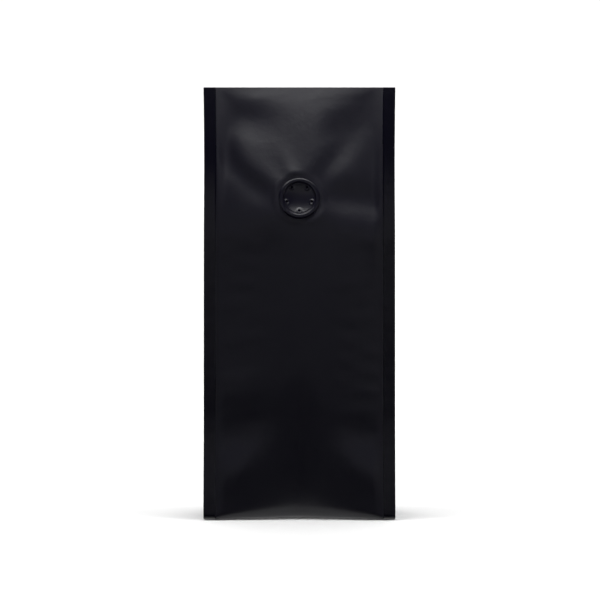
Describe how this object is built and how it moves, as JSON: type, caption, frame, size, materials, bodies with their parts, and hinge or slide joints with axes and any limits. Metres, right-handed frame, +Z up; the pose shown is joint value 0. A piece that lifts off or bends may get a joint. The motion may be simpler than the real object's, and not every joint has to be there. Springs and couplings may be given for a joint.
{
  "type": "quad seal bag",
  "caption": "Tall filled film bag with sealed fins down its corners, folded side gussets, a straight pressed top and a round venting valve.",
  "frame": {"origin": "middle of the base, on the surface the bag stands on", "axes": "+Z up towards the pressed top edge; the front with the valve faces -Y; +X is the front's right as seen from the front"},
  "size_m": [0.1028, 0.0711, 0.2285],
  "materials": {
    "film": "matte black laminate film, fine even grain, a little glossier along the pressed seals",
    "valve_face": "black film drawn tight over a moulded valve, satin"
  },
  "bodies": {
    "root": {"bag": "film", "valve": "valve_face"}
  },
  "joints": []
}
